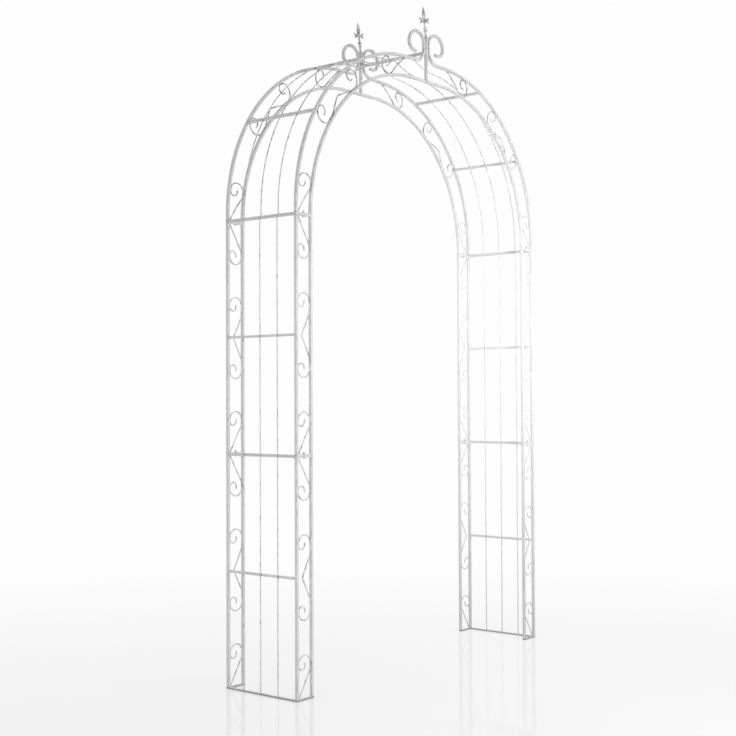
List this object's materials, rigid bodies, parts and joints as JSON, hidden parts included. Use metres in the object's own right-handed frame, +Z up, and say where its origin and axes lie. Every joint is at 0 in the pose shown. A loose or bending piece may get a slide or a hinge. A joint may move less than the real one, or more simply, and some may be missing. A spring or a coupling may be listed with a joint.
{
  "type": "garden arch",
  "caption": "Walk-through garden arch of square steel tube: ladder sides with scrolls, a round top, looped crown ends and a cross finial over each frame.",
  "frame": {"origin": "on the floor, in the middle of the walkway", "axes": "+X across the walkway to the right leg, +Y through the walkway from the front frame to the back frame, +Z up"},
  "size_m": [1.4296, 0.3274, 2.3879],
  "materials": {
    "painted_steel": "worn antique white paint over steel, matt",
    "fastener_steel": "dull weathered steel"
  },
  "bodies": {
    "root": {"left_front_lower_outer_tube": "painted_steel", "left_front_lower_inner_rail": "painted_steel", "left_front_upper_outer_tube": "painted_steel", "left_front_upper_inner_rail": "painted_steel", "left_front_arch_outer_tube": "painted_steel", "left_front_arch_inner_rail": "painted_steel", "left_back_lower_outer_tube": "painted_steel", "left_back_lower_inner_rail": "painted_steel", "left_back_upper_outer_tube": "painted_steel", "left_back_upper_inner_rail": "painted_steel", "left_back_arch_outer_tube": "painted_steel", "left_back_arch_inner_rail": "painted_steel", "left_lower_side_grid": "painted_steel", "left_upper_side_grid": "painted_steel", "left_arch_grid": "painted_steel", "right_front_lower_outer_tube": "painted_steel", "right_front_lower_inner_rail": "painted_steel", "right_front_upper_outer_tube": "painted_steel", "right_front_upper_inner_rail": "painted_steel", "right_front_arch_outer_tube": "painted_steel", "right_front_arch_inner_rail": "painted_steel", "right_back_lower_outer_tube": "painted_steel", "right_back_lower_inner_rail": "painted_steel", "right_back_upper_outer_tube": "painted_steel", "right_back_upper_inner_rail": "painted_steel", "right_back_arch_outer_tube": "painted_steel", "right_back_arch_inner_rail": "painted_steel", "right_lower_side_grid": "painted_steel", "right_upper_side_grid": "painted_steel", "right_arch_grid": "painted_steel", "front_finial": "painted_steel", "back_finial": "painted_steel", "left_front_mid_joint_bolt": "fastener_steel", "left_front_mid_joint_nut": "fastener_steel", "left_front_spring_joint_bolt": "fastener_steel", "left_front_spring_joint_nut": "fastener_steel", "left_back_mid_joint_bolt": "fastener_steel", "left_back_mid_joint_nut": "fastener_steel", "left_back_spring_joint_bolt": "fastener_steel", "left_back_spring_joint_nut": "fastener_steel", "right_front_mid_joint_bolt": "fastener_steel", "right_front_mid_joint_nut": "fastener_steel", "right_front_spring_joint_bolt": "fastener_steel", "right_front_spring_joint_nut": "fastener_steel", "right_back_mid_joint_bolt": "fastener_steel", "right_back_mid_joint_nut": "fastener_steel", "right_back_spring_joint_bolt": "fastener_steel", "right_back_spring_joint_nut": "fastener_steel", "front_post_bolt": "fastener_steel", "front_post_nut": "fastener_steel", "front_post_screw": "fastener_steel", "back_post_bolt": "fastener_steel", "back_post_nut": "fastener_steel", "back_post_screw": "fastener_steel", "front_ridge_bolt": "fastener_steel", "front_ridge_nut": "fastener_steel", "back_ridge_bolt": "fastener_steel", "back_ridge_nut": "fastener_steel"}
  },
  "joints": []
}
